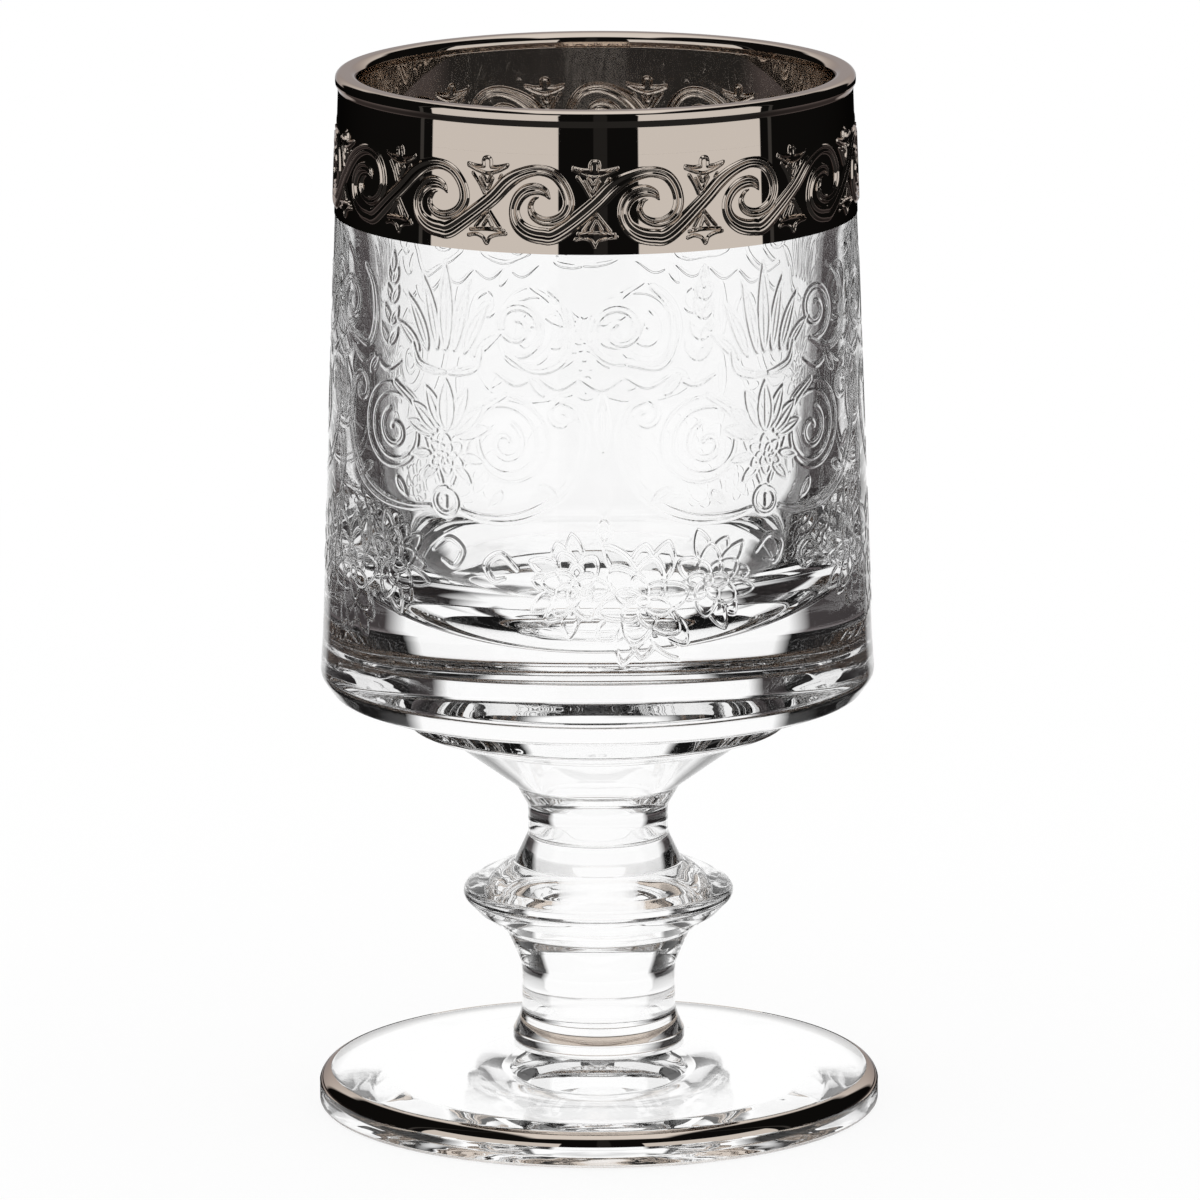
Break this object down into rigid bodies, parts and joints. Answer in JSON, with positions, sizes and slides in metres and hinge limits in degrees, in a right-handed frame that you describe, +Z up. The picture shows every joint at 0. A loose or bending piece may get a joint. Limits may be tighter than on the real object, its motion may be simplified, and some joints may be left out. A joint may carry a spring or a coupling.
{
  "type": "schnapps glass",
  "caption": "Stemmed schnapps glass: thick-based tapering bowl on a button, a stem with a ring knop and a disc foot, with a metallic lustre band, a raised scroll frieze and engraving.",
  "frame": {"origin": "centre of the foot's underside, on the surface that the glass stands on", "axes": "+Z up the axis of the glass, -Y towards the pictured front, +X to its right"},
  "size_m": [0.0538, 0.0538, 0.1],
  "materials": {
    "clear_glass": "clear colourless crystal, fire polished, with fine shallow engraving on the bowl",
    "platinum_lustre": "fired platinum lustre, mirror bright"
  },
  "bodies": {
    "root": {"foot": "clear_glass", "foot_line": "platinum_lustre", "lower_stem": "clear_glass", "knop": "clear_glass", "upper_stem": "clear_glass", "button": "clear_glass", "bowl": "clear_glass", "rim_band": "platinum_lustre", "scroll_frieze": "platinum_lustre"}
  },
  "joints": []
}
